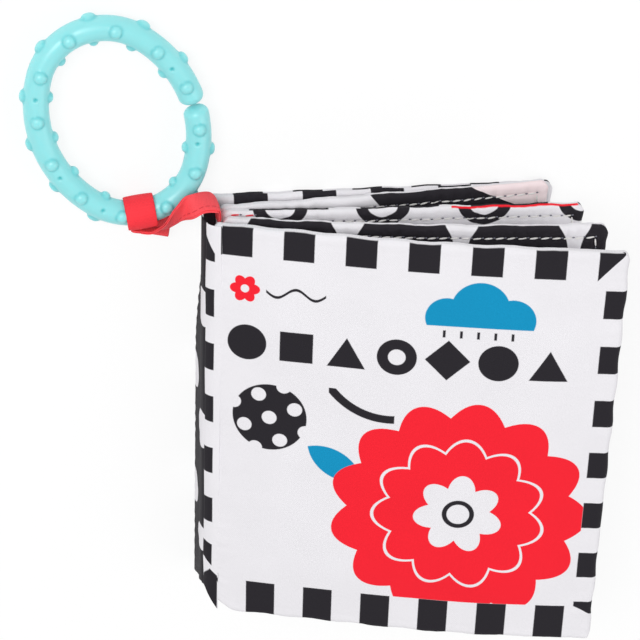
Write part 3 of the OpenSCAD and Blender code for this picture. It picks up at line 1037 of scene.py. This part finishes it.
# The strap: a doubled ribbon from the spine's seam, folded back on itself, and its band round the ring
strap = {
    "ribbon": [((3.3, 70.4, 9), (3.3, 70.4, 19)), ((3.2, 76, 9.2), (3.2, 76, 19.4)),
               ((1.4, 78.8, 9.6), (1.6, 77.2, 19.6)), ((-1.5, 80.2, 11.2), (-1.5, 77.2, 19.4)),
               ((-4.5, 81.0, 14.0), (-5, 74.8, 18.2)), ((-7.5, 80.6, 15.2), (-8, 71, 12.2)),
               ((-10.5, 77.1, 15.8), (-11, 67.8, 9.8)), ((-12.5, 73.3, 15.1), (-12.9, 66.1, 7.7)),
               ((-14.5, 69.65, 13.8), (-14.7, 64.8, 5.6)), ((-17.5, 65.9, 10.5), (-17.5, 65.4, 4.6)),
               ((-21.4, 65.6, 9.6), (-21.4, 65.6, 4.0))],
    "tail": [((-21.8, 65.6, 8.6), (-21.8, 65.4, 3.6)), ((-23.9, 65.4, 7.4), (-24.3, 66.4, 3.0)),
             ((-23.6, 64.1, 5.9), (-24.6, 69.0, 2.0)), ((-21.4, 63.3, 5.2), (-22.2, 70.0, 1.2)),
             ((-17.8, 62.8, 5.0), (-17.9, 70.2, 0.9)), ((-14.4, 62.0, 4.8), (-13.8, 69.2, 1.0)),
             ((-11.8, 61.3, 4.6), (-10.2, 68.0, 1.3))],
    "loopAt": (-21.3, 72.7, 7.9), "loopRadius": 5.25, "loopLean": 9.0, "loopHalf": 4.9,
    "loopStep": 20, "loopWave": 0.12,
    "layer": 0.42, "layerGap": 0.52, "spareEdge": 0.7, "width": 10.5,
    "steps": 6, "rows": 8, "cup": 0.18, "wave": 0.1, "waveTurn": 0.9,
    "seam": (8.3, 8.65), "seamChecks": (0.0, 2.0, 1.3), "seamInk": 0.8, "seamDepth": 1.5,
    "ribTurn": 7.0, "ribHeight": 0.5, "weave": 0.6, "bump": (0.5, 0.15),
    "surface": {"Roughness": 0.7, "Specular IOR Level": 0.3},
    "colour": rgb(250, 52, 64), "ribbonColour": rgb(252, 80, 88), "stitchColour": rgb(205, 24, 40),
    "ribbonRows": (-5, 15), "bandRow": 20,  # the band is cut from its own row, without edge stitching
}


def ribbonSeam(tree, x, y):
    return ink(tree, both(tree, slab(tree, y, *strap["seam"]), checks(tree, x, *strap["seamChecks"])))


def drawRibbon(tree, x, y):
    tone = mixColour(tree, ink(tree, slab(tree, y, *strap["ribbonRows"])), strap["colour"],
                     strap["ribbonColour"])
    seam = times(tree, ribbonSeam(tree, x, y), strap["seamInk"])
    return mixColour(tree, seam, tone, strap["stitchColour"])


def ribbonRelief(tree, x, y, height):
    ribs = times(tree, calc(tree, "SINE", times(tree, x, strap["ribTurn"])), strap["ribHeight"])
    return minus(tree, plus(tree, height, ribs), times(tree, ribbonSeam(tree, x, y), strap["seamDepth"]))


def addLayer(bm, edges, offset, spare=0.0, row=0.0):
    # one layer of ribbon between its two edge lines; offset moves it off the middle, along its normal
    first, last = [curveThrough([pair[k] for pair in edges], strap["steps"]) for k in (0, 1)]
    across = last - first
    normal = np.cross(np.gradient(first + last, axis=0), across)
    normal /= np.linalg.norm(normal, axis=1)[:, None]
    last = last + across / np.linalg.norm(across, axis=1)[:, None] * spare
    lengths = runLengths((first + last) / 2)
    made = bmesh.ops.create_grid(bm, x_segments=len(first) - 1, y_segments=strap["rows"], size=0.5)["verts"]
    layer = bm.loops.layers.uv["cut"]
    flat = {}
    for v in made:
        k = int(round((v.co.x + 0.5) * (len(first) - 1)))
        share = v.co.y + 0.5
        cup = strap["cup"] * math.sin(math.pi * share)
        cup += strap["wave"] * math.sin(lengths[k] * strap["waveTurn"] + share * 2)
        point = first[k] + (last[k] - first[k]) * share + normal[k] * (offset + cup)
        flat[v] = (lengths[k] / mapUnit, (row + share * strap["width"]) / mapUnit)
        v.co = Vector(point * mm) + fromSpine
    for face in {face for v in made for face in v.link_faces}:
        for loop in face.loops:
            loop[layer].uv = flat[loop.vert]
    return lengths[-1]


def bandEdges(spec):
    lean = math.radians(spec["loopLean"])
    axis = np.array([math.cos(lean), math.sin(lean), 0]) * spec["loopHalf"]
    side = np.array([-math.sin(lean), math.cos(lean), 0])
    edges = []
    for turn in np.radians(np.arange(0, 361, spec["loopStep"])):
        radius = spec["loopRadius"] + spec["loopWave"] * math.sin(3 * turn + 0.7)
        rise = np.array([0, 0, math.sin(turn)])
        middle = np.array(spec["loopAt"]) + radius * (side * math.cos(turn) + rise)
        edges.append((middle - axis, middle + axis))
    return edges


def makeStrap(spec):
    bm = bmesh.new()
    bm.loops.layers.uv.new("cut")
    ribbon = addLayer(bm, spec["ribbon"], spec["layerGap"] / 2)
    ribbon += addLayer(bm, spec["ribbon"], -spec["layerGap"] / 2, spec["spareEdge"])
    tail = addLayer(bm, spec["tail"], 0.0)
    band = addLayer(bm, bandEdges(spec), 0.0, row=spec["bandRow"])
    obj = makeObject("ringStrap", bm, "root", ["ring_strap"])
    obj.data.materials.append(clothMaterial("ribbonWeave", drawRibbon, spec, ribbonRelief))
    thicken(obj, spec["layer"])
    return obj


makeStrap(strap)
print("strap made")


# The stage: a white floor and soft lamps
stage = {
    "floor": {"Base Color": rgb(255, 255, 255), "Roughness": 0.9, "Specular IOR Level": 0.0},
    "floorSize": 3, "floorLow": 0.0005,
    "floorSeen": 0.85,  # share of the floor that the camera sees as plain white
    "worldLight": 0.53,
    "lamps": {"key": ((-0.5, 0.55, 1.1), 0.6, 8.6), "fill": ((0.9, -0.3, 0.9), 0.9, 3.6)},
}


def cameraShare(tree, share):
    return times(tree, tree.nodes.new("ShaderNodeLightPath").outputs["Is Camera Ray"], share)


def makeStage(spec):
    bm = bmesh.new()
    bmesh.ops.create_grid(bm, x_segments=1, y_segments=1, size=spec["floorSize"])
    mesh = bpy.data.meshes.new("floor")
    bm.to_mesh(mesh)
    bm.free()
    floor = bpy.data.objects.new("floor", mesh)
    floor.location.z = -spec["floorLow"]
    scene.collection.objects.link(floor)
    material, tree, shader = newMaterial("floor", spec["floor"])
    mix = tree.nodes.new("ShaderNodeMixShader")
    tree.links.new(cameraShare(tree, spec["floorSeen"]), mix.inputs[0])
    tree.links.new(shader.outputs[0], mix.inputs[1])
    tree.links.new(tree.nodes.new("ShaderNodeEmission").outputs[0], mix.inputs[2])
    tree.links.new(mix.outputs[0], tree.nodes["Material Output"].inputs[0])
    mesh.materials.append(material)
    scene.world = bpy.data.worlds.new("world")
    scene.world.use_nodes = True
    sky = scene.world.node_tree
    background = sky.nodes["Background"]
    plug(sky, background.inputs["Color"], (1, 1, 1, 1))
    plug(sky, background.inputs["Strength"],
         plus(sky, cameraShare(sky, 1 - spec["worldLight"]), spec["worldLight"]))


def addLamp(name, place, size, power):
    data = bpy.data.lights.new(name, "AREA")
    data.shape = "SQUARE"
    data.size = size
    data.energy = power
    lamp = bpy.data.objects.new(name, data)
    lamp.location = place
    lamp.rotation_euler = (-Vector(place)).to_track_quat("-Z", "Y").to_euler()
    scene.collection.objects.link(lamp)


makeStage(stage)
for lampName, lampSpec in stage["lamps"].items():
    addLamp(lampName, *lampSpec)
print("stage lit")
